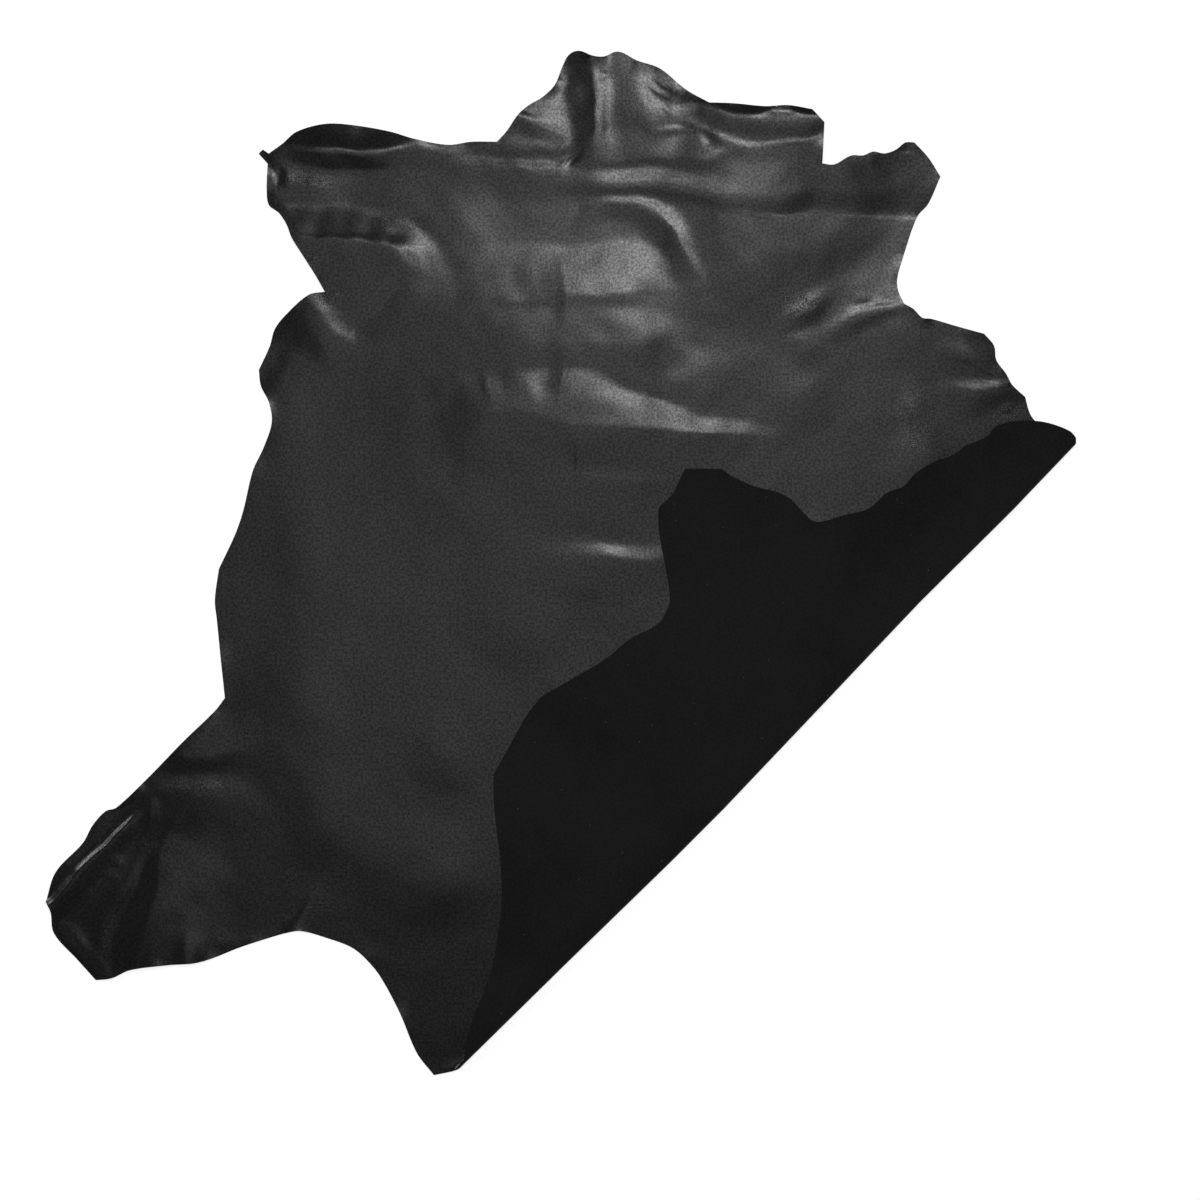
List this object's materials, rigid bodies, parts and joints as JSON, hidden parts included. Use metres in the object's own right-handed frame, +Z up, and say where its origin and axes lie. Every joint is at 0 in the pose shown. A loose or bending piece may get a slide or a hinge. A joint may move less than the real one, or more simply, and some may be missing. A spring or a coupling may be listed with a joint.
{
  "type": "leather hide",
  "caption": "Whole animal hide in thin black leather, lying grain side up, with one side folded over along a slanting crease and the suede side showing there.",
  "frame": {"origin": "on the surface the hide lies on, under the middle of its bounding box", "axes": "+Z up out of the surface; +Y towards the neck; +X towards the folded side"},
  "size_m": [1.0295, 1.024, 0.0107],
  "materials": {
    "leather": "black grain leather with a soft shine and fine pebbling; the flesh side is matt black suede"
  },
  "bodies": {
    "root": {"hide": "leather"}
  },
  "joints": []
}
